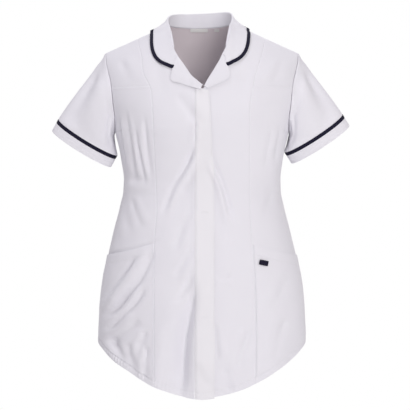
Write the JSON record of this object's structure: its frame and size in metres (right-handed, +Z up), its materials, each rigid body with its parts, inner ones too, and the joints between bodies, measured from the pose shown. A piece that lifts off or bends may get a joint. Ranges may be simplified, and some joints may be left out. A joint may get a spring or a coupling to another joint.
{
  "type": "maternity tunic",
  "caption": "Short-sleeved maternity work tunic in worn shape: princess-seamed flared front, covered placket, trimmed collar, small lapels, hip pockets and a curved hem.",
  "frame": {"origin": "in the neck opening, level with the shoulders, where the wearer holds the tunic up", "axes": "+Z up along the wearer's spine, -Y out of the front, +X to the wearer's left"},
  "size_m": [0.6372, 0.3014, 0.8171],
  "materials": {
    "white_cloth": "plain-weave polyester-cotton, matt with a faint sheen",
    "navy_trim": "navy plain-weave trim, matt",
    "label": "blank woven label, slightly glossy"
  },
  "bodies": {
    "root": {"centre_front_right": "white_cloth", "centre_front_left": "white_cloth", "placket_band": "white_cloth", "side_front_right": "white_cloth", "side_front_left": "white_cloth", "yoke_right": "white_cloth", "yoke_left": "white_cloth", "back": "white_cloth", "sleeve_right": "white_cloth", "sleeve_left": "white_cloth", "cuff_right": "white_cloth", "cuff_left": "white_cloth", "collar": "white_cloth", "lapel_right": "white_cloth", "lapel_left": "white_cloth", "pocket_right": "white_cloth", "pocket_left": "white_cloth", "cuff_trim_right": "navy_trim", "cuff_trim_left": "navy_trim", "collar_trim": "navy_trim", "pocket_tab": "navy_trim", "neck_label": "label", "size_label": "label"}
  },
  "joints": []
}
